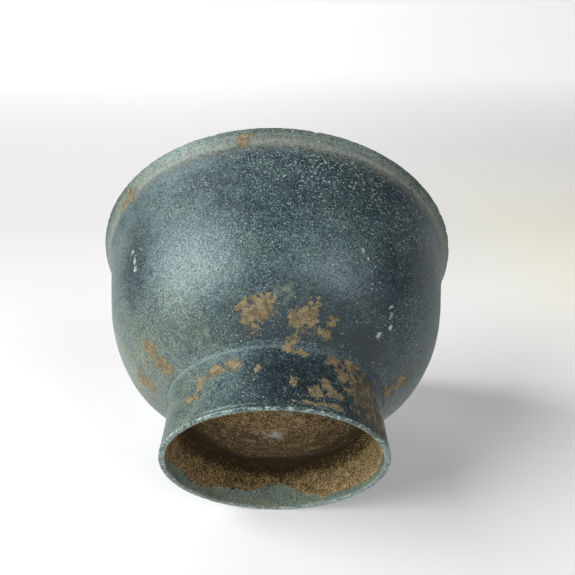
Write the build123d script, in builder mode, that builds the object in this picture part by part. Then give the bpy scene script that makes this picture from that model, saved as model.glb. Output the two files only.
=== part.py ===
from build123d import *
import os

# A footed bowl of copper alloy, standing upright on its foot: Z is its axis, and Z = 0 is the
# plane that the foot rests on. The bowl is raised from one sheet, and a flared ring of sheet is
# soldered under it. All sizes are in millimetres.

# Driving dimensions
LIP_RADIUS = 68.3
LIP_THICKNESS = 1.8
BOWL_HEIGHT = 84.0
NECK_RADIUS = 65.4
NECK_HEIGHT = 79.4
SHELL_THICKNESS = 1.6
UNDERSIDE_HEIGHT = 11.0
SEAM_RADIUS = 35.5
SEAM_HEIGHT = 21.5
FOOT_RADIUS = 36.6
FOOT_WAIST_RADIUS = 35.7
FOOT_WAIST_HEIGHT = 10.0
FOOT_THICKNESS = 1.7

# Details
LIP_ROUNDING = 0.4
CREASE_RADIUS = 1.2
CREASE_DEPTH = 0.3
FOOT_ROUNDING = 0.4
INCISED_LINE_HEIGHT = 1.3
INCISED_LINE_RADIUS = 0.25
INCISED_LINE_DEPTH = 0.2
OUTER_BEAD_RADIUS = 1.3
INNER_BEAD_RADIUS = 2.4

# Points of the wall's outline between the seam and the neck: distance from the axis, and height
BELLY = [(41.0, 24.9), (48.4, 30.4), (54.0, 38.0), (58.0, 47.0), (60.8, 58.0), (62.9, 70.0)]
UNDERSIDE_MIDDLE = (SEAM_RADIUS / 2, UNDERSIDE_HEIGHT + (SEAM_HEIGHT - UNDERSIDE_HEIGHT) / 4)
NECK_DIRECTION = (0.3, 1)
INSIDE_POINTS = 10


def outer_wall():
    """Draws the bowl's outside, from the middle of its underside to the neck below the lip."""
    return Spline(
        (0, UNDERSIDE_HEIGHT),
        UNDERSIDE_MIDDLE,
        (SEAM_RADIUS, SEAM_HEIGHT),
        *BELLY,
        (NECK_RADIUS, NECK_HEIGHT),
        tangents=[(1, 0), NECK_DIRECTION],
    )


def inner_wall(outside):
    """Draws the bowl's inside, one sheet's thickness from its outside all the way up."""
    points = []
    for step in range(INSIDE_POINTS + 1):
        along = step / INSIDE_POINTS
        direction = outside % along
        points.append(outside @ along + Vector(-direction.Y, direction.X) * SHELL_THICKNESS)
    return Spline(*points, tangents=[(1, 0), NECK_DIRECTION])


# The bowl's outer surface as a filled outline, which shapes everything that meets it from below
with BuildSketch(Plane.XZ) as bowl_outline:
    with BuildLine():
        wall = outer_wall()
        Polyline(wall @ 1, (0, NECK_HEIGHT), wall @ 0)
    make_face()

# The bowl: one sheet of even thickness, with a flared lip, cut level, and a crease under it
with BuildPart() as bowl_shell:
    with BuildSketch(Plane.XZ):
        with BuildLine():
            outside = outer_wall()
            inside = inner_wall(outside)
            lip_outside = TangentArc(outside @ 1, (LIP_RADIUS, BOWL_HEIGHT), tangent=outside % 1)
            lip_tip = (LIP_RADIUS - LIP_THICKNESS, BOWL_HEIGHT)
            lip_inside = TangentArc(inside @ 1, lip_tip, tangent=inside % 1)
            Line(lip_outside @ 1, lip_inside @ 1)
            Line(outside @ 0, inside @ 0)
        make_face()
        fillet(vertices().group_by(Axis.Y)[-1], LIP_ROUNDING)
        with Locations((NECK_RADIUS + CREASE_RADIUS - CREASE_DEPTH, NECK_HEIGHT)):
            Circle(CREASE_RADIUS, mode=Mode.SUBTRACT)
    revolve(axis=Axis.Z)
bowl_shell.part.label = "bowl_shell"

# The foot: a ring of sheet that spreads slightly towards the ground, cut to fit the bowl
with BuildPart() as foot_ring:
    with BuildSketch(Plane.XZ) as foot_section:
        with BuildLine():
            foot_top = SEAM_HEIGHT + SHELL_THICKNESS
            face = (FOOT_RADIUS, 0)
            waist = (FOOT_WAIST_RADIUS, FOOT_WAIST_HEIGHT)
            outside = ThreePointArc(face, waist, (SEAM_RADIUS, foot_top))
            inner_face = (FOOT_RADIUS - FOOT_THICKNESS, 0)
            inner_waist = (FOOT_WAIST_RADIUS - FOOT_THICKNESS, FOOT_WAIST_HEIGHT)
            inside = ThreePointArc(inner_face, inner_waist, (SEAM_RADIUS - FOOT_THICKNESS, foot_top))
            Line(outside @ 0, inside @ 0)
            Line(outside @ 1, inside @ 1)
        make_face()
        fillet(vertices().group_by(Axis.Y)[0], FOOT_ROUNDING)
        add(bowl_outline.sketch_local, mode=Mode.SUBTRACT)
        with Locations((FOOT_RADIUS + INCISED_LINE_RADIUS - INCISED_LINE_DEPTH, INCISED_LINE_HEIGHT)):
            Circle(INCISED_LINE_RADIUS, mode=Mode.SUBTRACT)
    revolve(axis=Axis.Z)
foot_ring.part.label = "foot_ring"

# The solder around the outside of the seam
with BuildPart() as outer_solder_bead:
    with BuildSketch(Plane.XZ):
        with Locations((SEAM_RADIUS, SEAM_HEIGHT)):
            Circle(OUTER_BEAD_RADIUS)
        add(bowl_outline.sketch_local, mode=Mode.SUBTRACT)
        add(foot_section.sketch_local, mode=Mode.SUBTRACT)
    revolve(axis=Axis.Z)
outer_solder_bead.part.label = "outer_solder_bead"

# The solder around the inside of the seam, in the corner between the foot and the underside
with BuildPart() as inner_solder_bead:
    with BuildSketch(Plane.XZ):
        corner_radius = SEAM_RADIUS - FOOT_THICKNESS
        with Locations((corner_radius, SEAM_HEIGHT - FOOT_THICKNESS / 2)):
            Circle(INNER_BEAD_RADIUS)
        add(bowl_outline.sketch_local, mode=Mode.SUBTRACT)
        add(foot_section.sketch_local, mode=Mode.SUBTRACT)
        with Locations((corner_radius / 2, FOOT_WAIST_HEIGHT)):
            Rectangle(corner_radius + FOOT_THICKNESS / 2, BOWL_HEIGHT, mode=Mode.INTERSECT)
    revolve(axis=Axis.Z)
inner_solder_bead.part.label = "inner_solder_bead"

os.makedirs("parts", exist_ok=True)
for piece in (bowl_shell, foot_ring, outer_solder_bead, inner_solder_bead):
    export_step(piece.part, f"parts/{piece.part.label}.step")
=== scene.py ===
from math import cos, radians, sin, tan

import bmesh
import bpy
import numpy as np
from mathutils import Matrix, Vector
from mathutils.bvhtree import BVHTree


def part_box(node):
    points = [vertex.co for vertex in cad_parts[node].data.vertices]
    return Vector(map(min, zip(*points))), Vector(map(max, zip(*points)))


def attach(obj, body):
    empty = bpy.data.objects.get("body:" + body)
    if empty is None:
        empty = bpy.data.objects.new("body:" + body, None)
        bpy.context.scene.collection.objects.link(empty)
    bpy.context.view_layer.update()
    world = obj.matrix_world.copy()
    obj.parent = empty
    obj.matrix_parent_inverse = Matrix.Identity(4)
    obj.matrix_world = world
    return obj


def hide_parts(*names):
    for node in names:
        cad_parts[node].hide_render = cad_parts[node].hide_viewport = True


# The looks of an old footed bowl of copper alloy: a raised shell with a blue-green patina, a
# soldered foot with verdigris on its edge, and brown earth left inside the foot.
# Lengths are in metres. MM turns a size in millimetres into metres.

MM = 0.001

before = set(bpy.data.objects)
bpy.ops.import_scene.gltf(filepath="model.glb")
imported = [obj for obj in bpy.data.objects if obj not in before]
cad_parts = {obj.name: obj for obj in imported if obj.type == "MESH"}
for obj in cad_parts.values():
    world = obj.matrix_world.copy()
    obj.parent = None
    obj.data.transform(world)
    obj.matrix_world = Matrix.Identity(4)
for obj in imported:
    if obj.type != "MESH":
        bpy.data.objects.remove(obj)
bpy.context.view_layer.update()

# -------- sizes, read from the frame
shell_low, shell_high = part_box("bowl_shell")
foot_low, foot_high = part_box("foot_ring")
LIP_RADIUS = shell_high.x
HEIGHT = shell_high.z
UNDERSIDE = shell_low.z
FOOT_RADIUS = foot_high.x
SEAM_HEIGHT = foot_high.z
SEAM_RADIUS = FOOT_RADIUS - 1.1 * MM
NECK_HEIGHT = HEIGHT - 4.6 * MM
RIM_LEAN = 0.0178
# rays from these heights on the axis meet the CAD's bowl and the side of its foot once each
EYE_IN_BOWL = 0.6 * HEIGHT
EYE_IN_FOOT = 0.4 * SEAM_HEIGHT

# -------- noise, the same on every run


def lattice(cell, seed):
    """A repeatable random value from -1 to 1 for each whole-number cell."""
    x, y, z = (cell[..., k].astype(np.int64) for k in range(3))
    h = (x * 374761393 + y * 668265263 + z * 1440662683 + seed * 1274126177) & 0xFFFFFFFF
    h = ((h ^ (h >> 13)) * 1274126177) & 0xFFFFFFFF
    return ((h ^ (h >> 16)) & 0xFFFF) / 32767.5 - 1


def smooth_noise(points, size, seed):
    """Smooth noise from -1 to 1 whose features are about size across."""
    p = points / size
    cell = np.floor(p)
    t = p - cell
    t = t * t * t * (t * (t * 6 - 15) + 10)
    total = 0
    for corner in np.ndindex(2, 2, 2):
        weight = np.prod(np.where(np.array(corner) == 1, t, 1 - t), axis=-1)
        total = total + weight * lattice(cell + corner, seed)
    return total


def layered_noise(points, size, seed, layers=3):
    """Noise with finer layers on top, each half as large and half as strong."""
    total, strength = 0, 1
    for layer in range(layers):
        total = total + strength * smooth_noise(points, size / 2**layer, seed + 17 * layer)
        strength = strength / 2
    return total / (2 - 2 * strength)


def ease(low, high, x):
    """0 below low, 1 above high, and a smooth rise between them."""
    t = np.clip((x - low) / (high - low), 0, 1)
    return t * t * (3 - 2 * t)


def hump(x, width):
    """A bell that is 1 at 0 and falls off over width."""
    return np.exp(-((x / width) ** 2))


def turn_from(degrees, angles):
    """The signed angle, in radians, from a direction in degrees to each of the angles."""
    return (angles - radians(degrees) + np.pi) % (2 * np.pi) - np.pi


def on_cylinder(angles, radius, height):
    """Points at a radius around the axis, for noise that runs through a wall."""
    return np.stack([np.cos(angles) * radius, np.sin(angles) * radius, height], -1)


def at_foot(height):
    """The radius at which the foot's marks are measured, which is the same at every height."""
    return FOOT_RADIUS


# -------- outlines and turned meshes


def cad_outline(node, eye_height, first, last, count):
    """A CAD wall's inner and outer outline, met by rays from a point on the axis."""
    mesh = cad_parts[node].data
    tree = BVHTree.FromPolygons([v.co for v in mesh.vertices], [p.vertices for p in mesh.polygons])
    eye = Vector((0, 0, eye_height))
    inner, outer = [], []
    for angle in np.radians(np.linspace(first, last, count)):
        # the small turn keeps the ray off the mesh's seam
        ray = Vector((cos(angle) * cos(0.01), cos(angle) * sin(0.01), sin(angle)))
        near = tree.ray_cast(eye, ray)[0]
        far = tree.ray_cast(near + ray * 0.01 * MM, ray)[0]
        for found, wall in ((near, inner), (far, outer)):
            wall.append((np.hypot(found.x, found.y), found.z))
    return np.array(inner), np.array(outer)


def along(points):
    """The distance travelled along an outline at each of its points."""
    return np.r_[0, np.cumsum(np.hypot(*np.diff(points, axis=0).T))]


def points_at(points, distances):
    """The points that lie at given distances along an outline."""
    s = along(points)
    return np.stack([np.interp(distances, s, points[:, k]) for k in range(2)], -1)


def resample(points, step):
    """The same outline with points about step apart."""
    length = along(points)[-1]
    return points_at(points, np.linspace(0, length, max(3, int(length / step) + 1)))


def respace(points, spacing, spare=0.0):
    """The same outline with points as far apart as spacing says, and each one's distance along
    it. Spare is the part of a step left free at the end, for a loop that closes on itself."""
    s = along(points)
    steps = np.r_[0, np.cumsum(np.diff(s) / spacing[1:])]
    distances = np.interp(np.arange(0, steps[-1] - spare), steps, s)
    return points_at(points, distances), distances


def soften(points, passes):
    """An outline whose inner points have moved towards the middle of their neighbours."""
    points = points.copy()
    for _ in range(passes):
        points[1:-1] = points[1:-1] / 2 + (points[:-2] + points[2:]) / 4
    return points


def turned(outline, columns):
    """Rings of points around the axis for an outline, with its angles and outward normals."""
    angles = np.linspace(0, 2 * np.pi, columns, endpoint=False)
    slope = np.gradient(outline, axis=0)
    normal = np.stack([slope[:, 1], -slope[:, 0]], -1)
    normal = normal / np.linalg.norm(normal, axis=1, keepdims=True)
    turn = np.stack([np.cos(angles), np.sin(angles)], -1)

    def around(rz):
        rings = np.empty((len(outline), columns, 3))
        rings[..., :2] = rz[:, None, :1] * turn[None]
        rings[..., 2] = rz[:, None, 1]
        return rings

    return around(outline), around(normal), np.broadcast_to(angles, (len(outline), columns))


def make_piece(name, rings, closed_ends, material, fields=None, loop=False):
    """A mesh from rings of points. closed_ends says which end rings close to a point."""
    rows, columns = rings.shape[:2]
    vertices = rings.reshape(-1, 3)
    index = np.arange(rows * columns).reshape(rows, columns)
    lower, upper = (index, np.roll(index, -1, axis=0)) if loop else (index[:-1], index[1:])
    quads = np.stack([lower, np.roll(lower, -1, 1), np.roll(upper, -1, 1), upper], -1)
    faces = quads.reshape(-1, 4).tolist()
    extra, values = [], {k: v.reshape(-1) for k, v in (fields or {}).items()}
    for end, row in zip(closed_ends, (0, -1)):
        if end:
            middle = len(vertices) + len(extra)
            extra.append(rings[row].mean(axis=0))
            ring = index[row]
            pairs = zip(ring.tolist(), np.roll(ring, -1).tolist())
            faces += [[b, a, middle] if row == 0 else [a, b, middle] for a, b in pairs]
            for key in values:
                values[key] = np.append(values[key], values[key].reshape(-1)[ring].mean())
    if extra:
        vertices = np.vstack([vertices, extra])
    mesh = bpy.data.meshes.new(name)
    mesh.from_pydata(vertices.tolist(), [], faces)
    mesh.update()
    for key, value in values.items():
        layer = mesh.attributes.new(key, "FLOAT", "POINT")
        layer.data.foreach_set("value", value.astype(np.float32))
    mesh.polygons.foreach_set("use_smooth", np.ones(len(mesh.polygons), bool))
    mesh.materials.append(material)
    piece = bpy.data.objects.new(name, mesh)
    bpy.context.scene.collection.objects.link(piece)
    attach(piece, "root")
    return piece


# -------- shader nodes in a few words


class Nodes:
    """Adds nodes to a tree, so that materials and the world read as lists of their layers."""

    def __init__(self, tree):
        self.tree = tree

    def add(self, kind, **settings):
        """A new node with some of its settings changed."""
        node = self.tree.nodes.new(kind)
        for key, value in settings.items():
            setattr(node, key, value)
        return node

    def put(self, value, socket):
        """Links a node's output to a socket, or sets a plain value on it."""
        if isinstance(value, bpy.types.NodeSocket):
            self.tree.links.new(value, socket)
        else:
            socket.default_value = value

    def math(self, operation, a, b=0.0, c=0.0):
        """A sum, product or other operation on up to three values."""
        node = self.add("ShaderNodeMath", operation=operation)
        for value, socket in zip((a, b, c), node.inputs):
            self.put(value, socket)
        return node.outputs[0]

    def times(self, a, b):
        """a times b."""
        return self.math("MULTIPLY", a, b)

    def scaled(self, a, b, c):
        """a times b, plus c."""
        return self.math("MULTIPLY_ADD", a, b, c)

    def varied(self, value, noise, strength):
        """A value that noise from 0 to 1 raises and lowers by up to half the strength."""
        return self.scaled(noise, strength, self.math("SUBTRACT", value, strength / 2))

    def dot(self, vector, direction):
        """How far a vector points in a direction."""
        node = self.add("ShaderNodeVectorMath", operation="DOT_PRODUCT")
        self.put(vector, node.inputs[0])
        self.put(direction, node.inputs[1])
        return node.outputs["Value"]

    def between(self, value, low, high, at_low=0.0, at_high=1.0, curve="SMOOTHSTEP"):
        """at_low where the value is low or less, at_high where it is high or more."""
        node = self.add("ShaderNodeMapRange", interpolation_type=curve, clamp=True)
        self.put(value, node.inputs["Value"])
        self.put(low, node.inputs["From Min"])
        self.put(high, node.inputs["From Max"])
        self.put(at_low, node.inputs["To Min"])
        self.put(at_high, node.inputs["To Max"])
        return node.outputs["Result"]

    def ramp(self, value, *stops):
        """A colour for each value, from (position, colour) stops."""
        node = self.add("ShaderNodeValToRGB")
        self.put(value, node.inputs[0])
        elements = node.color_ramp.elements
        while len(elements) < len(stops):
            elements.new(0.5)
        for element, (position, colour) in zip(elements, stops):
            element.position = position
            element.color = (*colour, 1)
        return node.outputs[0]

    def mix(self, amount, a, b, blend="MIX"):
        """Colour a turned into colour b by an amount."""
        node = self.add("ShaderNodeMix", data_type="RGBA", blend_type=blend)
        self.put(amount, node.inputs[0])
        for value, socket in ((a, node.inputs[6]), (b, node.inputs[7])):
            self.put(value if isinstance(value, bpy.types.NodeSocket) else (*value, 1), socket)
        return node.outputs[2]

    def choose(self, amount, a, b):
        """Surface a turned into surface b by an amount."""
        node = self.add("ShaderNodeMixShader")
        for value, socket in zip((amount, a, b), node.inputs):
            self.put(value, socket)
        return node.outputs[0]


class Shader(Nodes):
    """The nodes of a material, with the textures that the pieces share."""

    def __init__(self, name):
        self.material = bpy.data.materials.new(name)
        self.material.use_nodes = True
        super().__init__(self.material.node_tree)
        self.surface = self.tree.nodes["Principled BSDF"]
        self.place = self.add("ShaderNodeTexCoord").outputs["Object"]

    def noise(self, size, detail=3.0, roughness=0.55, distortion=0.0):
        """Noise from 0 to 1 whose features are about size across."""
        node = self.add("ShaderNodeTexNoise")
        self.put(self.place, node.inputs["Vector"])
        node.inputs["Scale"].default_value = 1 / size
        node.inputs["Detail"].default_value = detail
        node.inputs["Roughness"].default_value = roughness
        node.inputs["Distortion"].default_value = distortion
        return node.outputs["Fac"]

    def cells(self, size, place=None):
        """Scattered cells about size across: the distance from a cell's middle, and a random
        number for each cell."""
        node = self.add("ShaderNodeTexVoronoi", feature="F1")
        self.put(self.place if place is None else place, node.inputs["Vector"])
        node.inputs["Scale"].default_value = 1 / size
        split = self.add("ShaderNodeSeparateColor")
        self.put(node.outputs["Color"], split.inputs[0])
        return node.outputs["Distance"], split.outputs[0]

    def specks(self, size, share, largest, place=None):
        """Round specks: a share of the cells hold one, of up to largest cells in radius."""
        distance, chance = self.cells(size, place)
        above = self.math("SUBTRACT", self.math("ADD", chance, share), 1.0)
        picked = self.math("DIVIDE", above, share)
        reach = self.scaled(self.math("MAXIMUM", picked, 0.0), largest, -0.02)
        return self.between(self.math("SUBTRACT", reach, distance), 0.0, 0.10)

    def stretched(self, turn, stretch):
        """The place, turned and drawn out, for marks that run one way."""
        node = self.add("ShaderNodeMapping", vector_type="TEXTURE")
        self.put(self.place, node.inputs["Vector"])
        node.inputs["Rotation"].default_value = turn
        node.inputs["Scale"].default_value = stretch
        return node.outputs[0]

    def field(self, name):
        """A value that the mesh carries at its points."""
        return self.add("ShaderNodeAttribute", attribute_name=name).outputs["Fac"]

    def bump(self, height, distance):
        """A surface direction that shows relief, where a height of 1 stands a distance out."""
        node = self.add("ShaderNodeBump")
        self.put(height, node.inputs["Height"])
        node.inputs["Distance"].default_value = distance
        node.inputs["Strength"].default_value = 1.0
        return node.outputs[0]

    def finish(self, colour, roughness, normal, specular=0.95, tint=(0.82, 0.97, 1.0)):
        """Sets the material's surface from its finished layers."""
        self.put(colour, self.surface.inputs["Base Color"])
        self.put(roughness, self.surface.inputs["Roughness"])
        self.put(normal, self.surface.inputs["Normal"])
        self.surface.inputs["Specular IOR Level"].default_value = specular
        self.surface.inputs["Specular Tint"].default_value = (*tint, 1)
        return self.material


# -------- colours
INK = (0.007, 0.013, 0.017)
SLATE = (0.019, 0.036, 0.044)
TEAL = (0.046, 0.084, 0.091)
SEA_GREY = (0.092, 0.142, 0.134)
PALE_GREEN = (0.190, 0.242, 0.200)
PATINA = [(0.0, INK), (0.16, SLATE), (0.40, TEAL), (0.64, SEA_GREY), (1.0, PALE_GREEN)]
MINT = (0.52, 0.62, 0.55)
# what the patina is multiplied by where it turns yellowish, and where it turns bluish
MOSSY = (1.28, 1.06, 0.82)
BLUISH = (0.92, 0.99, 1.12)
BEIGE = (0.27, 0.265, 0.215)
OCHRE = (0.33, 0.250, 0.120)
RUST = (0.160, 0.104, 0.042)
EARTH_DARK = (0.040, 0.025, 0.009)
EARTH = (0.262, 0.178, 0.076)
EARTH_LIGHT = (0.600, 0.475, 0.270)
UMBER = (0.070, 0.055, 0.032)
SAND = (0.480, 0.400, 0.250)
DARK_FILM = (0.062, 0.048, 0.027)
ASH_DARK = (0.200, 0.200, 0.160)
ASH = (0.460, 0.470, 0.390)
LICHEN = (0.220, 0.250, 0.140)
CHALKY = (0.500, 0.570, 0.450)
# painted shade along the lip's edge
LIP_EDGE_SHADE = (0.004, 0.006, 0.006)
# pale solder with a painted highlight on its ridge
PALE_SOLDER_AND_HIGHLIGHT = (0.240, 0.290, 0.280)
VERDIGRIS_DARK = (0.120, 0.180, 0.160)
VERDIGRIS = (0.440, 0.540, 0.470)
PAPER = (0.890, 0.865, 0.855)
# paper in a painted pool of warm light
PAPER_IN_WARM_LIGHT = (0.970, 0.930, 0.830)
BACKDROP = (1.000, 1.000, 0.985)

# how the three sets of scratches are turned around X, Y and Z, in radians
SCRATCH_TURNS = [(0.1, 0.2, 0.5), (-0.5, 0.3, 0.9), (0.6, -0.4, 0.2)]


def add_patina(s, pale, dark):
    """Colour, roughness and relief of bare patinated metal, lighter or darker by two fields."""
    broad = s.noise(24 * MM, 4, 0.6, distortion=0.3)
    middle = s.noise(5 * MM, 5, 0.62)
    fine = s.noise(0.9 * MM, 4, 0.65)
    grain = s.noise(0.42 * MM, 3, 0.6)
    tone = s.scaled(broad, 0.7, -0.01)
    tone = s.varied(tone, middle, 0.8)
    tone = s.varied(tone, fine, 1.2)
    tone = s.varied(tone, grain, 3.0)
    tone = s.math("ADD", tone, s.math("SUBTRACT", pale, dark))
    colour = s.ramp(tone, *PATINA)
    bluer = s.between(s.noise(15 * MM, 3), 0.42, 0.66)
    colour = s.mix(bluer, colour, BLUISH, "MULTIPLY")
    mossy = s.varied(s.field("moss"), s.noise(9 * MM, 4), 1.4)
    colour = s.mix(s.between(mossy, 0.1, 0.9), colour, MOSSY, "MULTIPLY")

    # dark pits, then mint dust and specks of two sizes, which crowd together in places
    pinholes = s.between(s.noise(0.44 * MM, 2, 0.6), 0.44, 0.32)
    pits = s.math("MAXIMUM", s.specks(0.8 * MM, 0.25, 0.55), pinholes)
    colour = s.mix(s.times(pits, 0.75), colour, INK)
    crowd = s.between(s.noise(13 * MM, 4, 0.6), 0.36, 0.68)
    small = s.specks(0.38 * MM, s.scaled(crowd, 0.26, 0.03), 0.60)
    large = s.specks(1.3 * MM, s.scaled(crowd, 0.20, 0.04), 0.21)
    dust = s.between(s.noise(0.38 * MM, 2, 0.6), 0.58, 0.68)
    dust = s.times(dust, s.scaled(crowd, 0.40, 0.04))
    specks = s.math("MAXIMUM", dust, s.math("MAXIMUM", s.times(small, 0.62), large))
    fewer = s.scaled(s.between(dark, 0.15, 0.65), -0.6, 1.0)
    specks = s.times(specks, fewer)
    colour = s.mix(specks, colour, MINT)

    # short scratches, which are drawn-out specks that lie three ways
    worn = s.scaled(crowd, 0.04, s.times(s.field("scratched"), 0.34))
    scratches = 0.0
    for turn in SCRATCH_TURNS:
        dashes = s.specks(0.36 * MM, worn, 0.55, s.stretched(turn, (4.5, 1, 1)))
        scratches = s.math("MAXIMUM", scratches, dashes)
    colour = s.mix(s.times(scratches, 0.75), colour, MINT)

    roughness = s.scaled(fine, 0.45, s.scaled(middle, 0.2, 0.08))
    roughness = s.scaled(specks, 0.3, roughness)
    height = s.scaled(fine, 0.8, s.times(middle, 0.6))
    height = s.scaled(specks, 0.35, height)
    marks = s.scaled(scratches, 0.5, s.times(pits, 0.5))
    height = s.math("SUBTRACT", height, marks)
    return colour, roughness, height


def add_earth(s, colour, roughness, height, field, film=0.0):
    """Dry brown earth over a surface, wherever a field and a ragged noise reach half.
    Where film is high it is a thin dark film, not a pale crust."""
    ragged = s.noise(3.2 * MM, 3, 0.6)
    crumbs = s.noise(1.1 * MM, 4, 0.7)
    grain = s.noise(0.6 * MM, 4, 0.7)
    cover = s.varied(field, ragged, 1.5)
    cover = s.varied(cover, crumbs, 1.5)
    cover = s.varied(cover, grain, 0.7)
    cover = s.between(cover, 0.45, 0.54)
    tint = s.mix(s.between(s.noise(2.2 * MM, 4), 0.35, 0.65), RUST, OCHRE)
    tint = s.mix(s.between(grain, 0.50, 0.32), tint, UMBER)
    tint = s.mix(s.between(grain, 0.60, 0.75), tint, SAND)
    tint = s.mix(s.times(film, 0.8), tint, DARK_FILM)
    colour = s.mix(s.times(cover, 0.92), colour, tint)
    roughness = s.scaled(cover, s.math("SUBTRACT", 0.9, roughness), roughness)
    height = s.scaled(cover, s.scaled(grain, 1.4, 0.4), height)
    return colour, roughness, height


def shell_material():
    """The bowl's patina, with dirt in the crease under the lip, patches of earth, and a dark line of
    painted shade along the lip's edge.
    """
    s = Shader("shell_patina")
    colour, roughness, height = add_patina(s, s.field("pale"), s.field("dark"))
    green = s.times(s.field("green"), s.between(s.noise(2.5 * MM, 4), 0.45, 0.7))
    colour = s.mix(green, colour, LICHEN)
    chalk = s.varied(s.field("chalk"), s.noise(0.9 * MM, 4, 0.75), 2.4)
    colour = s.mix(s.times(s.between(chalk, 0.48, 0.64), 0.85), colour, CHALKY)
    dirt = s.times(s.field("dirt"), s.between(s.noise(1.1 * MM, 5, 0.75), 0.30, 0.62))
    colour = s.mix(dirt, colour, BEIGE)
    roughness = s.scaled(dirt, 0.3, roughness)
    colour, roughness, height = add_earth(s, colour, roughness, height, s.field("earth"))
    # a near-black line of painted shade along the outside of the lip's edge, made metal so that it shows
    # little sheen
    edge = s.times(s.field("edge"), s.between(s.noise(1.0 * MM, 3), 0.25, 0.45))
    colour = s.mix(edge, colour, LIP_EDGE_SHADE)
    roughness = s.math("MAXIMUM", edge, roughness)
    s.put(edge, s.surface.inputs["Metallic"])
    return s.finish(colour, roughness, s.bump(height, 0.15 * MM))


def foot_material():
    """The foot's patina, with verdigris on its edge, and earth and a dark film on its outside."""
    s = Shader("foot_patina")
    colour, roughness, height = add_patina(s, s.field("pale"), s.field("dark"))
    crust = s.noise(0.9 * MM, 5, 0.75)
    gaps = s.scaled(s.noise(3 * MM, 3), 0.5, -0.25)
    reach = s.math("ADD", s.math("ADD", s.field("verdigris"), crust), gaps)
    verdigris = s.between(reach, 0.93, 1.02)
    colour = s.mix(verdigris, colour, s.ramp(crust, (0.38, VERDIGRIS_DARK), (0.60, VERDIGRIS)))
    roughness = s.scaled(verdigris, 0.3, roughness)
    height = s.scaled(verdigris, crust, height)
    film = s.times(s.field("film"), s.between(s.noise(2.4 * MM, 4), 0.38, 0.56))
    colour, roughness, height = add_earth(s, colour, roughness, height, s.field("earth"), film)
    return s.finish(colour, roughness, s.bump(height, 0.12 * MM))


def solder_material():
    """The pale line of solder around the outside of the seam, with a painted highlight along its ridge."""
    s = Shader("pale_solder")
    colour, roughness, height = add_patina(s, s.field("pale"), s.field("dark"))
    # the ridge is painted pale: partly the solder's own colour, partly a painted highlight, strongest to
    # the left
    worn = s.times(s.field("solder_ridge_and_highlight"), s.between(s.noise(1.2 * MM, 4, 0.7), 0.3, 0.6))
    colour = s.mix(s.times(worn, 0.6), colour, PALE_SOLDER_AND_HIGHLIGHT)
    roughness = s.math("MAXIMUM", roughness, 0.75)
    colour, roughness, height = add_earth(s, colour, roughness, height, s.field("earth"))
    return s.finish(colour, roughness, s.bump(height, 0.16 * MM))


def earth_material(name):
    """The dry brown crust inside the foot: crumbly, pitted, streaked around the middle."""
    s = Shader(name)
    lumps = s.noise(3.5 * MM, 5, 0.65)
    grain = s.noise(0.7 * MM, 4, 0.7)
    pits, _ = s.cells(1.3 * MM)
    # the light field makes the crust lighter or darker, and carries its painted light and painted shade
    tone = s.scaled(lumps, 0.9, s.field("light"))
    tone = s.scaled(grain, 2.8, s.math("SUBTRACT", tone, 1.80))
    colour = s.ramp(tone, (0.0, EARTH_DARK), (0.45, EARTH), (1.0, EARTH_LIGHT))
    dark_pits = s.between(s.math("ADD", pits, s.times(grain, 0.9)), 0.66, 0.50)
    colour = s.mix(s.times(dark_pits, 0.75), colour, EARTH_DARK)
    ashy = s.scaled(grain, 0.6, s.field("ash"))
    ash = s.ramp(grain, (0.3, ASH_DARK), (0.7, ASH))
    colour = s.mix(s.between(ashy, 0.45, 0.9), colour, ash)
    height = s.scaled(grain, 1.2, s.times(lumps, 1.2))
    height = s.math("SUBTRACT", height, dark_pits)
    return s.finish(colour, 0.92, s.bump(height, 0.45 * MM), 0.25, (1, 1, 1))


# -------- where the marks are
# Each mark starts with its angle around the axis in degrees and its height in mm. The angle runs
# from +X towards +Y, so -90 is the side that faces the camera.

# Patches go on with their half width and half height, in mm.
SHELL_EARTH = [
    (-101, 26.6, 2.9, 2.7), (-95, 28.2, 3.6, 2.4), (-93, 29.6, 2.0, 1.2),
    (-81, 25.8, 2.6, 1.7), (-76.6, 27.3, 2.6, 2.2), (-67.4, 27, 1.6, 1.2), (-69, 24.3, 2.4, 0.9),
    (-82, 22.3, 1.7, 1.0), (-171.6, 26.8, 3.4, 2.3), (-150.5, 27.7, 3.0, 1.4),
    (-152, 24.8, 2.4, 2.3), (-151, 29, 2.4, 1.6), (-99.9, 80.4, 2.4, 2.6), (-98, 82.4, 1.8, 1.6),
    (-141, 79.6, 2.8, 2.4), (-146, 79, 2.8, 1.4), (-11.6, 23.4, 2.6, 2.4), (-11, 26, 2.8, 1.8),
    (35, 30, 3.2, 2.4), (62, 50, 2.6, 3.4), (118, 34, 4.2, 2.6), (141, 79.2, 3.2, 2.0),
    (88, 24.6, 3.0, 1.6), (20, 79.5, 3.6, 1.6), (160, 58, 1.8, 2.6),
]
SHELL_EARTH_INSIDE = [(40, 24, 9, 5), (190, 20, 10, 4), (300, 16, 12, 3)]
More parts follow.
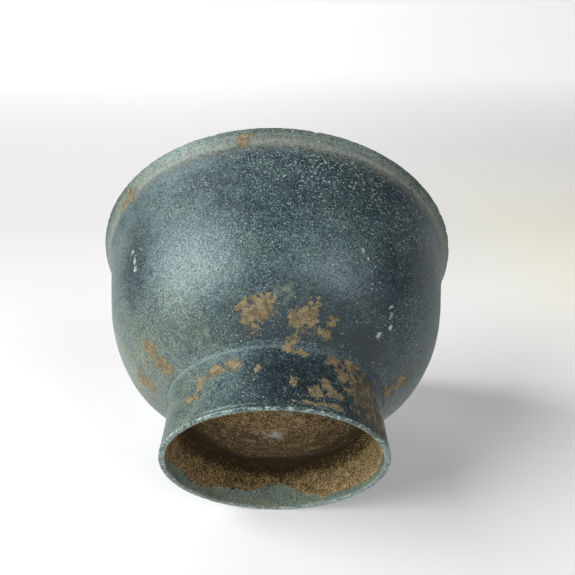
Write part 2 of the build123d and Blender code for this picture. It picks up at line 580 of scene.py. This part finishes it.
FOOT_EARTH = [
    (-98, 13.5, 1.2, 1.0), (-81.7, 8.8, 1.4, 1.5), (-77, 19.6, 1.5, 1.0), (-83, 19.8, 2.0, 1.2),
    (-111, 15.8, 3.3, 1.7), (-120.4, 15.5, 3.2, 1.8), (-129.5, 12.5, 2.2, 2.6),
    (-132.4, 8.7, 2.6, 2.0), (-61, 18.7, 2.6, 1.7), (-56.5, 15.4, 2.8, 2.7), (-48, 15.4, 2.4, 2.1),
    (-71, 6.5, 2.4, 2.1), (-65.7, 9.4, 2.0, 1.7), (-74, 2.4, 4.0, 0.8), (-62.6, 2.8, 4.2, 0.9),
    (-50, 19, 3.0, 1.8), (-40, 13, 8.0, 9.0), (-34, 6, 7.0, 6.0), (-62, 7, 2.6, 1.6),
    (70, 12, 4.0, 3.0), (118, 7, 3.0, 2.4), (165, 14, 3.4, 2.0), (10, 10, 2.8, 3.0),
]
YELLOW_GREEN = [
    (-121, 24.5, 2.2, 2.0), (-131, 25.8, 3.5, 1.6), (-113, 39, 2.8, 2.0), (-134, 70, 2.0, 2.0),
    (-86, 31, 4.0, 1.8), (100, 44, 4.0, 3.0),
]
CHALK = [
    (-141.4, 49.8, 0.8, 1.1), (-141.0, 52.8, 0.7, 1.2), (-141.9, 56.8, 0.9, 0.9),
    (-140.2, 54.6, 0.4, 0.5), (-63, 45.8, 0.6, 0.8), (-61, 43.6, 0.6, 0.6), (-47, 34.6, 0.6, 0.9),
    (-45.4, 32.6, 0.6, 0.8), (-43, 30.4, 0.9, 0.7), (-45.6, 27.8, 1.0, 0.6), (-87, 55.7, 0.5, 0.5),
    (70, 60, 0.9, 1.6),
]

# Soft marks have no edge. They go on with half width, half height and how strong they are.
# Stains and shade are darker than the patina around them; painted highlights are lighter.
# A few of these are real stains, such as those on the back. Most are painted shade and dark reflections:
# bands beside the highlights on both sides of the belly, shade just above the foot, and darker parts of
# the upper belly.
SHELL_STAINS_AND_SHADE = [
    (-98, 24, 9, 3.5, 0.16), (-70, 31, 12, 4, 0.16), (-90, 25, 18, 5, 0.12),
    (-130, 26, 12, 4, 0.10), (-38, 28, 18, 9, 0.20), (-85, 33, 12, 4, 0.12),
    (-78, 29, 8, 4, 0.20), (-173, 24, 8, 5, 0.16), (-14, 24, 8, 5, 0.12), (-46, 24.5, 12, 4, 0.16),
    (-141, 50, 6, 13, 0.42), (-136, 34, 7, 7, 0.14), (-49, 40, 8, 14, 0.30),
    (-38, 52, 10, 18, 0.12), (-60, 68, 20, 12, 0.20), (-88, 72, 22, 7, 0.13),
    (-60, 24, 12, 5, 0.30), (-84, 24, 12, 5, 0.22), (-84, 60, 9, 6, 0.08),
    (-118, 66, 14, 9, 0.06), (25, 46, 10, 14, 0.2), (105, 52, 12, 12, 0.15),
]
# Painted light: the two highlights on the front of the belly, reflections along its left and right sides,
# and bounce light low on its left.
SHELL_PAINTED_HIGHLIGHTS = [
    (-122, 39, 14, 12, 0.10), (-150, 25, 12, 8, 0.16), (-176, 42, 12, 26, 0.42),
    (-6, 46, 8, 20, 0.14), (-71, 36, 8, 7, 0.13), (-156, 41, 5, 14, 0.16), (-22, 42, 5, 14, 0.14),
]
SCRATCHED = [
    (-58, 68, 26, 9, 0.55), (-80, 70, 20, 7, 0.45), (-118, 66, 12, 8, 0.3), (-60, 52, 9, 4, 0.3),
    (-30, 66, 14, 10, 0.35), (140, 60, 20, 12, 0.4),
]

# Dents go on with half width, half height and depth.
DENTS = [
    (-141, 50, 7, 13, 0.30), (-50, 41, 7, 11, 0.35), (28, 48, 11, 10, 0.35), (112, 57, 10, 9, 0.35),
]

# These have no height of their own. They are an angle, a half width in mm, and how deep a nick in
# the lip is or how much further up the bare band inside the foot reaches, in mm.
LIP_NICKS = [
    (-108.5, 0.8, 0.22), (-80, 0.6, 0.25), (-118, 0.6, 0.15), (-69, 0.5, 0.15), (-29, 1.1, 0.25),
    (-20.5, 0.8, 0.3), (-14, 1.4, 0.25), (-5.5, 1.0, 0.3), (3, 1.8, 0.2), (48, 1.2, 0.3),
    (97, 0.9, 0.25), (151, 1.6, 0.3), (-160, 0.8, 0.15),
]
BARE_BAND_RISES = [(92, 15, 4.6), (84, 5, 1.6), (118, 6, 2.2), (158, 8, 2.2), (-16, 12, 3.0)]


def from_mark(points, mark, radius_of):
    """How far points lie across and above a mark's middle, as shares of its half sizes."""
    degrees, height, wide, tall = mark[:4]
    angle = np.arctan2(points[..., 1], points[..., 0])
    across = turn_from(degrees, angle) * radius_of(height * MM) / (wide * MM)
    up = (points[..., 2] - height * MM) / (tall * MM)
    return across, up


def soft_mark_field(points, soft_marks, radius_of):
    """The sum of soft bell-shaped marks, each with its own strength, for stains and painted shade, painted
    highlights and scratches.
    """
    total = np.zeros(points.shape[:-1])
    for soft_mark in soft_marks:
        across, up = from_mark(points, soft_mark, radius_of)
        total = total + soft_mark[4] * np.exp(-(across**2) - up**2)
    return total


def patch_field(points, patches, radius_of):
    """1 in the middle of each patch, half at its edge, and 0 from twice its size outwards."""
    total = np.zeros(points.shape[:-1])
    for patch in patches:
        across, up = from_mark(points, patch, radius_of)
        total = np.maximum(total, 1 - np.hypot(across, up) / 2)
    return total


def earth_relief(points, earth):
    """How far patches of earth stand out of the metal, with a ragged edge."""
    return 0.06 * MM * ease(0.4, 0.7, earth + 0.25 * layered_noise(points, 3 * MM, 41, 3))


# -------- the bowl's shell


# The lip's section, from the neck outside, over the edge, to the neck inside. Each point is how
# far in from the lip's radius and how far down from its top it lies, in mm.
LIP_SECTION = [
    (2.55, 4.6), (1.45, 2.4), (0.40, 0.85), (0.02, 0.35), (0.15, 0.05), (0.60, 0),
    (1.15, 0.05), (1.65, 0.40), (2.15, 1.20), (3.05, 2.6), (4.00, 4.6),
]


def shell_outline():
    """The outline from the middle of the underside, over the lip, to the middle of the inside."""
    walls = []
    for wall in cad_outline("bowl_shell", EYE_IN_BOWL, -89.8, 21, 500):
        wall[0, 0] = 0
        wall = wall[wall[:, 1] < NECK_HEIGHT - 1.5 * MM]
        walls.append(soften(resample(wall, 0.4 * MM), 60))
    inner, outer = walls
    lip = np.array([(LIP_RADIUS - into * MM, HEIGHT - down * MM) for into, down in LIP_SECTION])
    lip = soften(resample(lip, 0.12 * MM), 4)
    whole = np.vstack([outer, lip, inner[::-1]])
    s = along(whole)
    lip_start = along(outer)[-1]
    lip_end = along(np.vstack([outer, lip]))[-1]
    # rows lie close together on the lip and further apart on the walls
    near_lip = ease(6 * MM, 0, np.maximum(lip_start - s, s - lip_end))
    outline, rows = respace(whole, 0.8 * MM - 0.52 * MM * near_lip)
    outside = rows < (lip_start + lip_end) / 2
    return outline[1:], outside[1:]


shell_section, on_outside = shell_outline()
outer_wall = shell_section[on_outside]


def outer_radius(height):
    """The shell's outer radius at a height, from its outline."""
    return np.interp(height, outer_wall[:, 1], outer_wall[:, 0])


def hammered(rings, angles):
    """How far the hammered wall swells: a slow unevenness that both faces share, and dents."""
    shared = rings - [0, 0, EYE_IN_BOWL]
    shared = shared / np.linalg.norm(shared, axis=-1, keepdims=True) * 60 * MM
    uneven = 0.28 * MM * layered_noise(shared, 21 * MM, 3, 2)
    height = rings[..., 2]
    for degrees, level, wide, tall, depth in DENTS:
        across = turn_from(degrees, angles) * outer_radius(level * MM)
        dent = depth * MM * hump(across, wide * MM) * hump(height - level * MM, tall * MM)
        uneven = uneven - dent
    calm = ease(1 * MM, 8 * MM, height - SEAM_HEIGHT) * ease(1 * MM, 9 * MM, HEIGHT - height)
    return uneven * (0.15 + 0.85 * calm)


def shell_relief(rings, out, earth):
    """The crease under the lip, the soft ridge below it, fine corrosion, pits and earth."""
    above_neck = rings[..., 2] - NECK_HEIGHT
    relief = -(out * 0.16 * MM * hump(above_neck, 1.1 * MM))
    relief = relief + out * 0.12 * MM * hump(above_neck + 3.2 * MM, 2.0 * MM)
    relief = relief + 0.035 * MM * layered_noise(rings, 2.4 * MM, 11, 2)
    relief = relief - 0.07 * MM * ease(0.45, 0.8, smooth_noise(rings, 1.9 * MM, 29))
    return relief + earth_relief(rings, earth)


def wear_lip(rings, angles):
    """Bites nicks out of the lip and leans it. Also returns how high each point was before."""
    near_tip = ease(3.2 * MM, 0.3 * MM, HEIGHT - rings[..., 2])
    bite = 0.10 * MM * np.abs(layered_noise(rings, 3.0 * MM, 53, 3))
    for degrees, wide, depth in LIP_NICKS:
        bite = bite + depth * MM * hump(turn_from(degrees, angles) * LIP_RADIUS, wide * MM)
    rings[..., 2] -= near_tip * bite
    rings[..., :2] *= 1 - (near_tip * bite / LIP_RADIUS * 0.9)[..., None]
    lean = RIM_LEAN * rings[..., 0] * ease(0.4 * HEIGHT, HEIGHT, rings[..., 2])
    rings[..., 2] -= lean
    return rings, rings[..., 2] + lean


def shell_fields(rings, angles, level, out, earth):
    """What the shell's material is told at each point of the mesh."""
    inside = 1 - out
    left = ease(-0.1, 0.9, -np.cos(angles))
    right = ease(0.1, 0.9, np.cos(angles))
    low = ease(0.62 * HEIGHT, 0.3 * HEIGHT, level)
    above_neck = level - NECK_HEIGHT
    band = ease(0, 1.0 * MM, above_neck)
    below = ease(-5.5 * MM, -1.0 * MM, above_neck) * ease(1.5 * MM, 0, above_neck)
    ragged = 1 + 0.5 * layered_noise(rings, 7 * MM, 91, 3)
    dirt = out * ragged * (0.90 * hump(above_neck, 0.9 * MM) + 0.42 * below + 0.30 * band)
    # pale: the outside is painted lighter on its left, where light falls, and more so low on the left as
    # painted bounce light; the inside is painted lighter for its dim light; the band above the neck is
    # lighter too.
    pale = 0.02 + 0.10 * inside + out * (0.05 * left + 0.10 * left * low + 0.20 * band)
    moss = 0.1 + out * (0.15 * left + low * (0.55 * left + 0.35 * right))
    inner_earth = 0.8 * patch_field(rings, SHELL_EARTH_INSIDE, outer_radius)
    inner_earth = inner_earth + 0.32 * ease(24 * MM, 12 * MM, level)
    return {
        "pale": pale + out * soft_mark_field(rings, SHELL_PAINTED_HIGHLIGHTS, outer_radius),
        # dark: the right side is darkened as painted shade, on top of the stains and painted shade listed
        # above.
        "dark": out * (0.05 * right + soft_mark_field(rings, SHELL_STAINS_AND_SHADE, outer_radius)),
        "dirt": np.clip(dirt, 0, 1),
        "earth": np.maximum(earth, inside * inner_earth),
        "green": patch_field(rings, YELLOW_GREEN, outer_radius) * out * 0.9,
        "moss": np.clip(moss + 0.7 * band + 0.2 * inside, 0, 1),
        # edge: where the dark line of painted shade along the lip's edge goes
        "edge": out * ease(1.3 * MM, 0.9 * MM, HEIGHT - level),
        "chalk": patch_field(rings, CHALK, outer_radius) * out,
        "scratched": soft_mark_field(rings, SCRATCHED, outer_radius) * out,
    }


def build_shell():
    """The raised bowl, outside and inside, over the CAD's shell."""
    rings, normals, angles = turned(shell_section, 420)
    out = on_outside[:, None] * 1.0
    facing = np.where(on_outside, 1, -1)[:, None]
    earth = patch_field(rings, SHELL_EARTH, outer_radius) * out
    offset = facing * hammered(rings, angles) + shell_relief(rings, out, earth)
    rings, level = wear_lip(rings + normals * offset[..., None], angles)
    fields = shell_fields(rings, angles, level, out, earth)
    piece = make_piece("bowl_shell_skin", rings, (True, True), shell_material(), fields)
    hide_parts("bowl_shell")


# -------- the foot


def foot_outline():
    """The foot's section as a loop: down its inside, over the edge and up its outside."""
    inner, outer = cad_outline("foot_ring", EYE_IN_FOOT, -8, 18.3, 200)
    top = SEAM_HEIGHT - 1.2 * MM
    walls = [w[(w[:, 1] > 1.0 * MM) & (w[:, 1] < top)] for w in (inner, outer)]
    inner, outer = (soften(resample(w, 0.3 * MM), 30) for w in walls)
    thick = FOOT_RADIUS - inner[0, 0]
    edge = np.array([
        (FOOT_RADIUS - 0.02 * MM, 0.95 * MM),
        (FOOT_RADIUS, 0.55 * MM),
        (FOOT_RADIUS - 0.15 * MM, 0.15 * MM),
        (FOOT_RADIUS - 0.50 * MM, 0),
        (FOOT_RADIUS - thick + 0.45 * MM, 0),
        (FOOT_RADIUS - thick + 0.12 * MM, 0.15 * MM),
        (FOOT_RADIUS - thick, 0.6 * MM),
    ])
    edge = soften(resample(edge, 0.12 * MM), 3)
    crown = np.array([
        (inner[-1, 0], top),
        (inner[-1, 0] + 0.2 * MM, top + 0.35 * MM),
        (outer[-1, 0] - 0.2 * MM, top + 0.9 * MM),
        (outer[-1, 0], top + 0.4 * MM),
    ])
    loop = np.vstack([outer[::-1], edge, inner, resample(crown, 0.3 * MM)])
    # rows lie close together on the edge that the foot rests on
    spacing = np.where(loop[:, 1] < 2 * MM, 0.2 * MM, 0.55 * MM)
    return respace(loop, spacing, 0.5)[0][::-1]


def foot_fields(rings, angles, height, out, incised, earth):
    """What the foot's material is told at each point of the mesh."""
    left = ease(0.0, 0.95, -np.cos(angles)) * out
    just_above = hump(height - 0.9 * MM, 0.7 * MM) * out
    inside = 1 - out
    mottled = layered_noise(rings, 4 * MM, 23, 3)
    # painted dark reflection across the front of the foot, and painted shade on its right side
    front_dark_reflection = hump((angles - radians(277)) * FOOT_RADIUS, 11 * MM) * hump(height - 11 * MM, 9 * MM)
    right_side_shade = hump((angles - radians(312)) * FOOT_RADIUS, 10 * MM)
    from_film = np.abs((angles - radians(325)) * FOOT_RADIUS)
    return {
        # the outside is painted lighter on its left, where light falls; the inner wall is much paler,
        # partly as painted light for the dim inside of the foot
        "pale": 0.02 + 0.26 * left + 0.06 * just_above + (0.45 + 0.2 * mottled) * inside,
        "dark": out * (0.75 * front_dark_reflection + 0.42 * right_side_shade + 0.10 * incised),
        "moss": 0.10 + 0.6 * left + (0.55 + 0.4 * mottled) * inside + 0.5 * just_above,
        "verdigris": 0.45 * ease(0.75 * MM, 0.25 * MM, height) + 0.12 * just_above,
        "earth": earth,
        "film": out * ease(11 * MM, 7 * MM, from_film),
    }


def build_foot():
    """The flared foot with its thin incised line, over the CAD's ring."""
    rings, normals, angles = turned(foot_outline(), 420)
    height = rings[..., 2]
    radius = np.hypot(rings[..., 0], rings[..., 1])
    out = ease(FOOT_RADIUS - 1.9 * MM, FOOT_RADIUS - 1.1 * MM, radius)
    calm = ease(0.3 * MM, 3 * MM, height) * ease(0, 2 * MM, SEAM_HEIGHT - height)
    column = on_cylinder(angles, 36 * MM, height)
    uneven = 0.16 * MM * layered_noise(column, 14 * MM, 5, 2) * calm * np.where(out > 0.5, 1, -1)
    unworn = ease(-0.35, 0.1, layered_noise(column, 9 * MM, 8, 2))
    incised = hump(height - 1.35 * MM, 0.28 * MM) * out * unworn
    rough = 0.03 * MM * layered_noise(rings, 1.8 * MM, 13, 3)
    edge_wear = ease(1.0 * MM, 0, height) * 0.06 * MM * layered_noise(rings, 1.3 * MM, 19, 2)
    earth = patch_field(rings, FOOT_EARTH, at_foot) * out
    offset = uneven - 0.22 * MM * incised + rough + edge_wear + earth_relief(rings, earth)
    rings = rings + normals * offset[..., None]
    rings[..., 2] = np.maximum(rings[..., 2], 0)
    fields = foot_fields(rings, angles, height, out, incised, earth)
    piece = make_piece("foot_ring_skin", rings, (False, False), foot_material(), fields, loop=True)
    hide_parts("foot_ring")


# -------- solder


def build_bead(name, points, uneven, material, fields_of):
    """A thin line of solder with a soft section, uneven along its way."""
    outline = soften(resample(np.array(points), 0.16 * MM), 3)
    rings, normals, angles = turned(outline, 420)
    wave = layered_noise(rings * [1, 1, 0.3], 4.5 * MM, 61, 3)
    rings = rings + normals * (uneven * wave)[..., None]
    return make_piece(name, rings, (False, False), material, fields_of(rings, angles), loop=True)


def outer_solder_fields(rings, angles):
    """What the outer line's material is told: it is painted lighter to the left, where light falls, and
    darker to the right as painted shade, and its ridge is pale solder with a painted highlight, strongest
    to the left.
    """
    patches = [p for p in FOOT_EARTH + SHELL_EARTH if 17 < p[1] < 26]
    left = ease(-0.3, 0.9, -np.cos(angles))
    from_ridge = np.hypot(rings[..., 0], rings[..., 1]) - SEAM_RADIUS - 0.30 * MM
    return {
        "pale": 0.02 + 0.20 * left,
        "dark": 0.04 + 0.16 * ease(0.6, -0.4, -np.cos(angles)),
        "moss": 0.2 + 0.4 * left,
        "solder_ridge_and_highlight": hump(from_ridge, 0.22 * MM) * (0.25 + 0.6 * left),
        "earth": patch_field(rings, patches, at_foot),
    }


# The outer line's section: how far out and up from the seam each point lies, in mm.
OUTER_SOLDER_SECTION = [
    (-0.15, -1.70), (0.03, -1.45), (0.14, -1.00), (0.32, -0.50), (0.66, 0.00),
    (1.15, 0.42), (1.60, 0.86), (1.60, 1.25), (0.90, 0.70), (-0.20, 0.20),
]


def build_outer_solder():
    """The raised line around the outside of the seam, over the CAD's bead."""
    section = OUTER_SOLDER_SECTION
    points = [(SEAM_RADIUS + across * MM, SEAM_HEIGHT + up * MM) for across, up in section]
    piece = build_bead("outer_solder_line", points, 0.06 * MM, solder_material(), outer_solder_fields)
    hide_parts("outer_solder_bead")


def inner_solder_fields(rings, angles):
    """What the inner line's material is told: the same dark tone all round, painted shade like the crust's
    in the corner where it lies.
    """
    return {"light": -0.45 + 0 * angles, "ash": 0 * angles}


def build_inner_solder():
    """The line in the corner inside the foot, under earth, over the CAD's bead."""
    low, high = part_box("inner_solder_bead")
    corner = high.x
    points = [
        (corner + 0.3 * MM, low.z + 0.1 * MM),
        (corner + 0.3 * MM, high.z + 0.2 * MM),
        (corner - 2.0 * MM, high.z - 0.9 * MM),
        (corner - 2.3 * MM, high.z - 1.6 * MM),
        (corner - 1.1 * MM, high.z - 1.35 * MM),
        (corner - 0.35 * MM, low.z + 0.75 * MM),
    ]
    earth = earth_material("earth_on_solder")
    piece = build_bead("inner_solder_line", points, 0.25 * MM, earth, inner_solder_fields)
    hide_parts("inner_solder_bead")


# -------- earth inside the foot


def earth_outline():
    """The underside and the foot's inner wall as one outline, and the wall's upper radius."""
    inner, _ = cad_outline("foot_ring", EYE_IN_FOOT, -12, 10, 120)
    inner = inner[inner[:, 1] < SEAM_HEIGHT - 3.6 * MM]
    _, under = cad_outline("bowl_shell", EYE_IN_BOWL, -89.8, -60, 200)
    under[0, 0] = 0
    wall_radius, wall_top = inner[-1]
    under = under[under[:, 0] < wall_radius - 3.0 * MM]
    corner = np.array([
        (wall_radius - 1.2 * MM, wall_top + 1.35 * MM),
        (wall_radius - 0.25 * MM, wall_top + 0.7 * MM),
    ])
    outline = np.vstack([under, corner, inner[::-1]])
    return soften(resample(outline, 0.5 * MM), 8)[1:], wall_radius


def bare_band(angles):
    """How many mm the clean band reaches up from the foot's edge, all round."""
    ring = on_cylinder(angles, 34 * MM, 0 * angles)
    reach = 2.0 + 1.6 * layered_noise(ring, 11 * MM, 71, 3)
    for degrees, wide, tall in BARE_BAND_RISES:
        reach = reach + tall * hump(turn_from(degrees, angles) * 34, wide)
    reach = reach - 2.2 * hump(turn_from(270, angles) * 34, 40)
    return np.maximum(reach, 0.5)


def crust_thickness(rings, angles, on_wall):
    """Where the crust lies, from 0 to 1, and how far it stands out of the metal."""
    height = rings[..., 2]
    radius = np.hypot(rings[..., 0], rings[..., 1])
    ragged = 0.9 * layered_noise(rings, 3.4 * MM, 73, 4)
    cover = on_wall * (height / MM - bare_band(angles)) + (1 - on_wall) * 3 + 1.6 * ragged
    thick = ease(-0.35, 0.9, cover)
    lumps = 0.5 + 0.5 * layered_noise(rings, 2.6 * MM, 77, 3)
    grains = 0.5 + 0.5 * layered_noise(rings, 1.2 * MM, 79, 2)
    depth = thick * (0.30 + 0.42 * lumps + 0.20 * grains) * MM - 0.30 * (1 - thick) * MM
    circles = smooth_noise(np.stack([radius, 0 * radius, 0 * radius], -1), 2.2 * MM, 81)
    worn = (1 - on_wall) * (0.35 + 0.3 * circles)
    return thick, depth * (1 - 0.45 * worn)


def crust_fields(rings, angles, height, radius, on_wall):
    """How light the crust is, and where pale ash lies on it. The wall is painted light, most on the right,
    the underside is painted lighter towards -Y, and the corner round the wall is painted shade, most
    towards +Y.
    """
    side = -np.sin(angles)
    on_underside = 1 - on_wall
    # painted light on the wall, most on the right
    wall_painted_light = 0.22 * ease(-0.1, 0.9, np.cos(angles)) + 0.07 * ease(0.3, 0.9, -np.cos(angles))
    light = 0.06 + 0.20 * on_underside * ease(-0.4, 0.9, side) + on_wall * (0.16 + wall_painted_light)
    # painted shade in the corner round the foot's wall
    corner_painted_shade = hump(radius - 29.5 * MM, 4.0 * MM) * on_underside
    corner_painted_shade = corner_painted_shade + on_wall * ease(10 * MM, 15 * MM, height)
    light = light - 0.52 * corner_painted_shade * (0.3 + 0.7 * ease(-0.2, 0.7, -side))
    spot = hump(radius, 3.4 * MM) * (0.7 + 0.4 * smooth_noise(rings, 1.6 * MM, 83))
    beside = np.hypot(rings[..., 0] - 4 * MM, rings[..., 1] + 12 * MM)
    spot = spot + 0.5 * hump(beside, 2.0 * MM)
    unrolled = np.stack([radius * 3, angles * 6 * MM, 0 * radius], -1)
    streaks = on_underside * 0.25 * ease(0.2, 0.8, smooth_noise(unrolled, 3 * MM, 85))
    return {"light": light, "ash": np.clip(spot * 0.75 + streaks, 0, 0.9)}


def drop_points(mesh, dropped):
    """Removes points from a mesh, and any point that then has no face."""
    bm = bmesh.new()
    bm.from_mesh(mesh)
    bm.verts.ensure_lookup_table()
    bare = [bm.verts[int(i)] for i in np.nonzero(dropped)[0]]
    bmesh.ops.delete(bm, geom=bare, context="VERTS")
    loose = [vertex for vertex in bm.verts if not vertex.link_faces]
    bmesh.ops.delete(bm, geom=loose, context="VERTS")
    bm.to_mesh(mesh)
    bm.free()


def build_earth():
    """The crust of earth on the foot's inner wall and on the underside, with a ragged edge."""
    outline, wall_radius = earth_outline()
    rings, normals, angles = turned(outline, 480)
    height = rings[..., 2]
    radius = np.hypot(rings[..., 0], rings[..., 1])
    on_wall = ease(wall_radius - 3.5 * MM, wall_radius - 1.0 * MM, radius)
    thick, depth = crust_thickness(rings, angles, on_wall)
    rings = rings + normals * depth[..., None]
    fields = crust_fields(rings, angles, height, radius, on_wall)
    piece = make_piece("earth_in_foot", rings, (True, False), earth_material("foot_earth"), fields)
    # the crust is dropped where it lies wholly below the bare metal
    drop_points(piece.data, (thick <= 0.02).reshape(-1))


build_shell()
build_foot()
build_outer_solder()
build_inner_solder()
build_earth()


# -------- camera
CAMERA_BACK = 5.130 * FOOT_RADIUS
CAMERA_DROP = 2.356 * FOOT_RADIUS
CAMERA_PAN = radians(1.28)
CAMERA_TILT = radians(40.53)
CAMERA_ROLL = radians(-0.19)
CAMERA_LENS = 39.32


def add_camera():
    """A camera below and in front of the bowl, looking up at its foot."""
    level = cos(CAMERA_TILT)
    forward = Vector((sin(CAMERA_PAN) * level, cos(CAMERA_PAN) * level, sin(CAMERA_TILT)))
    right = forward.cross(Vector((0, 0, 1))).normalized()
    up = right.cross(forward)
    across = right * cos(CAMERA_ROLL) + up * sin(CAMERA_ROLL)
    upward = up * cos(CAMERA_ROLL) - right * sin(CAMERA_ROLL)
    data = bpy.data.cameras.new("camera")
    data.sensor_width = 36
    data.lens = CAMERA_LENS
    data.clip_start = 0.01
    camera = bpy.data.objects.new("camera", data)
    turn = Matrix((across, upward, -forward)).transposed().to_4x4()
    camera.matrix_world = Matrix.Translation((0, -CAMERA_BACK, -CAMERA_DROP)) @ turn
    bpy.context.scene.collection.objects.link(camera)
    bpy.context.scene.camera = camera


# -------- light and floor
FLOOR_HALF = 40.0
TABLE_GLOW = 0.22
TABLE_FADE = 0.20
SHELF_GLOW = 0.14

# Tipped over, the bowl lies on its foot's edge and its belly: the steepest line touching both.
belly = cad_outline("bowl_shell", EYE_IN_BOWL, -60, 20, 160)[1]
TABLE_SLOPE = np.max((belly[:, 0] - FOOT_RADIUS) / belly[:, 1])
TABLE_UP = Vector((0, -1, TABLE_SLOPE)).normalized()

# How bright the room is: 0 is straight down at the table that the bowl lies on, 1 straight up.
ROOM_LIGHT = [(0.0, 0.92), (0.42, 0.92), (0.52, 0.52), (0.66, 0.26), (0.85, 0.11), (1.0, 0.06)]
# The bowl's own shadow dims the table on its right, and two sides of the room are dark:
# (direction, where it starts and ends as the cosine of the angle to it, how much light is left).
DIM_SIDES = [
    ((1, 0.2, 0), -0.2, 0.8, 0.55),
    ((-0.86, 0.06, 0.50), 0.78, 0.95, 0.15),
    ((0.97, -0.26, 0.03), 0.74, 0.94, 0.20),
]


def add_world():
    """Soft light from all round: pale from the table below the lying bowl, dim from above it."""
    world = bpy.data.worlds.new("studio")
    world.use_nodes = True
    w = Nodes(world.node_tree)
    way = w.add("ShaderNodeTexCoord").outputs["Generated"]
    rise = w.between(w.dot(way, TABLE_UP), -1.0, 1.0, curve="LINEAR")
    greys = [(place, (level, level * 1.01, level * 1.02)) for place, level in ROOM_LIGHT]
    strength = 1.0
    for direction, start, end, level in DIM_SIDES:
        toward = w.dot(way, Vector(direction).normalized())
        strength = w.times(strength, w.between(toward, start, end, 1.0, level))
    lit = w.tree.nodes["Background"]
    w.put(w.ramp(rise, *greys), lit.inputs["Color"])
    w.put(strength, lit.inputs["Strength"])

    # what the camera sees past the floor is plain and pale, and a little dimmer to the right
    sideways = w.add("ShaderNodeSeparateXYZ")
    w.put(way, sideways.inputs[0])
    plain = w.add("ShaderNodeBackground")
    w.put((*BACKDROP, 1), plain.inputs["Color"])
    w.put(w.between(sideways.outputs["X"], 0.0, 0.42, 1.0, 0.86, "LINEAR"), plain.inputs["Strength"])
    seen = w.add("ShaderNodeLightPath").outputs["Is Camera Ray"]
    w.put(w.choose(seen, lit.outputs[0], plain.outputs[0]), w.tree.nodes["World Output"].inputs["Surface"])
    bpy.context.scene.world = world


def add_light(name, direction, spread, strength, colour):
    """A far, soft light that shines on the bowl from a direction."""
    data = bpy.data.lights.new(name, "SUN")
    data.angle = radians(spread)
    data.energy = strength
    data.color = colour
    light = bpy.data.objects.new(name, data)
    light.matrix_world = Vector(direction).to_track_quat("Z", "Y").to_matrix().to_4x4()
    bpy.context.scene.collection.objects.link(light)


def floor_material(name, glow, fade, seen_from_below=False):
    """A plain pale surface, which glows a little, and less so towards one side by fade."""
    s = Shader(name)
    s.surface.inputs["Roughness"].default_value = 0.9
    s.surface.inputs["Specular IOR Level"].default_value = 0.1
    place = s.add("ShaderNodeSeparateXYZ")
    s.put(s.add("ShaderNodeNewGeometry").outputs["Position"], place.inputs[0])
    x, z = place.outputs["X"], place.outputs["Z"]

    # a painted pool of warm light lies on the table to the right of the bowl
    warm = s.times(s.between(z, 0.07, 0.17), s.between(z, 0.60, 0.25))
    warm = s.times(warm, s.between(x, 0.08, 0.20))
    s.put(s.mix(warm, PAPER, PAPER_IN_WARM_LIGHT), s.surface.inputs["Base Color"])

    # the glow is dimmer towards the right, and in a broad band behind the bowl
    fan = s.math("DIVIDE", x, s.math("ADD", s.math("ABSOLUTE", z), 0.35))
    band = s.times(s.between(z, 0.05, 0.32), s.between(z, 1.5, 0.35))
    strength = s.scaled(s.between(fan, -0.25, 0.5), -fade, glow)
    strength = s.scaled(band, -fade * 1.2, strength)
    s.put(strength, s.surface.inputs["Emission Strength"])
    s.surface.inputs["Emission Color"].default_value = (1, 1, 0.99, 1)

    # it shows from its front only; the lying floor shows only through the standing one
    hidden = s.add("ShaderNodeNewGeometry").outputs["Backfacing"]
    if seen_from_below:
        through = s.add("ShaderNodeLightPath").outputs["Transparent Depth"]
        above = s.math("GREATER_THAN", z, 0.0)
        direct = s.times(above, s.math("LESS_THAN", through, 0.5))
        hidden = s.math("MAXIMUM", hidden, direct)
    clear = s.add("ShaderNodeBsdfTransparent").outputs[0]
    shown = s.choose(hidden, s.surface.outputs[0], clear)
    s.put(shown, s.tree.nodes["Material Output"].inputs["Surface"])
    return s.material


def add_floor(name, point, up, material):
    """A flat floor that only the camera sees, so that it sheds no light itself."""
    mesh = bpy.data.meshes.new(name)
    corners = [(-1, -1), (1, -1), (1, 1), (-1, 1)]
    mesh.from_pydata([(x * FLOOR_HALF, y * FLOOR_HALF, 0) for x, y in corners], [], [(0, 1, 2, 3)])
    mesh.materials.append(material)
    floor = bpy.data.objects.new(name, mesh)
    turn = Vector(up).to_track_quat("Z", "Y").to_matrix().to_4x4()
    floor.matrix_world = Matrix.Translation(point) @ turn
    bpy.context.scene.collection.objects.link(floor)
    for ray in ("diffuse", "glossy", "transmission", "shadow", "volume_scatter"):
        setattr(floor, "visible_" + ray, False)


add_camera()
add_world()
add_light("window_left", (-0.80, -0.60, -0.04), 46, 3.75, (0.95, 0.99, 1.0))
add_light("window_right", (0.62, -0.72, -0.32), 30, 1.0, (0.96, 0.96, 1.0))
add_light("window_above", (-0.3, 0.2, 1.0), 60, 1.3, (1.0, 1.0, 1.0))
table = floor_material("table", TABLE_GLOW, TABLE_FADE, seen_from_below=True)
shelf = floor_material("shelf", SHELF_GLOW, 0.0)
add_floor("lying_floor", Vector((0, FOOT_RADIUS + 0.2 * MM, 0)), TABLE_UP, table)
add_floor("standing_floor", Vector((0, 0, -0.05 * MM)), (0, 0, 1), shelf)

bpy.context.scene.view_settings.view_transform = "Standard"
